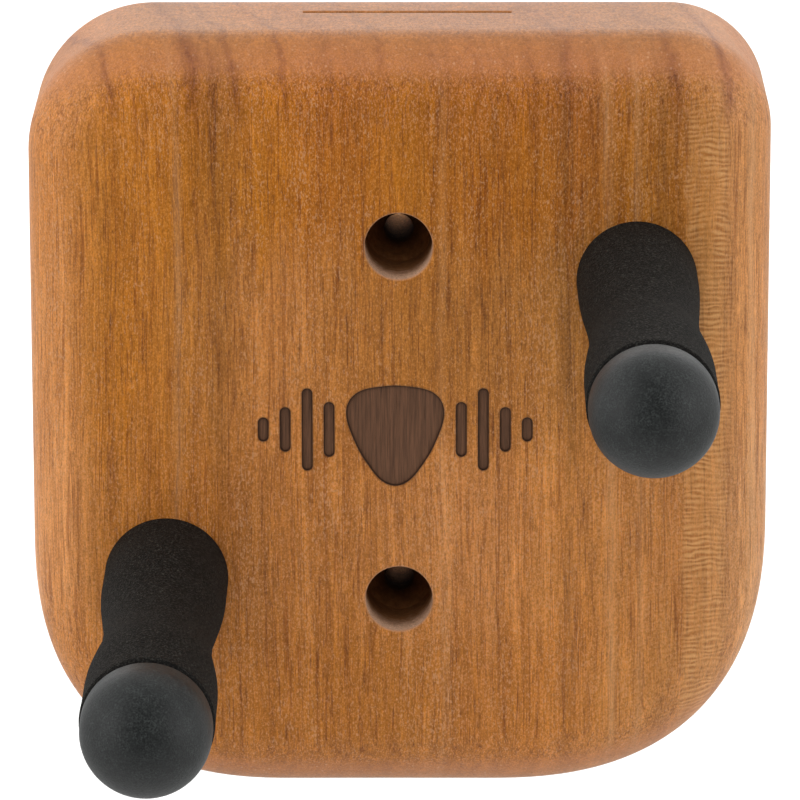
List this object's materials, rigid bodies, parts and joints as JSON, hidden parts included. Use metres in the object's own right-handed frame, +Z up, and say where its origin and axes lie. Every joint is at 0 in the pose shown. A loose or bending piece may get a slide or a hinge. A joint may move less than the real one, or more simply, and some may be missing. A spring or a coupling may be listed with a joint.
{
  "type": "wall guitar hanger",
  "caption": "Rounded solid-wood wall plate with foam-covered pegs set diagonally to cradle a guitar headstock, counterbored screw holes and a plectrum slot in the top edge.",
  "frame": {"origin": "midway between the two wall screws, on the wall plane at the block's back face", "axes": "+Z is up the wall, +Y points into the wall, the pegs stick out towards -Y and +X is to the right of a person facing the wall"},
  "size_m": [0.1046, 0.108, 0.1101],
  "materials": {
    "oiled_hardwood": "oiled, satin, open pores",
    "insert_brass": "machined",
    "plated_steel": "zinc plated, satin",
    "black_foam": "matt closed-cell foam",
    "cap_rubber": "smooth satin moulded rubber"
  },
  "bodies": {
    "root": {"wood_block": "oiled_hardwood", "left_threaded_insert": "insert_brass", "right_threaded_insert": "insert_brass", "left_peg_stud": "plated_steel", "right_peg_stud": "plated_steel", "left_foam_sleeve": "black_foam", "right_foam_sleeve": "black_foam", "left_cap_insert": "insert_brass", "right_cap_insert": "insert_brass", "left_end_cap": "cap_rubber", "right_end_cap": "cap_rubber"}
  },
  "joints": []
}
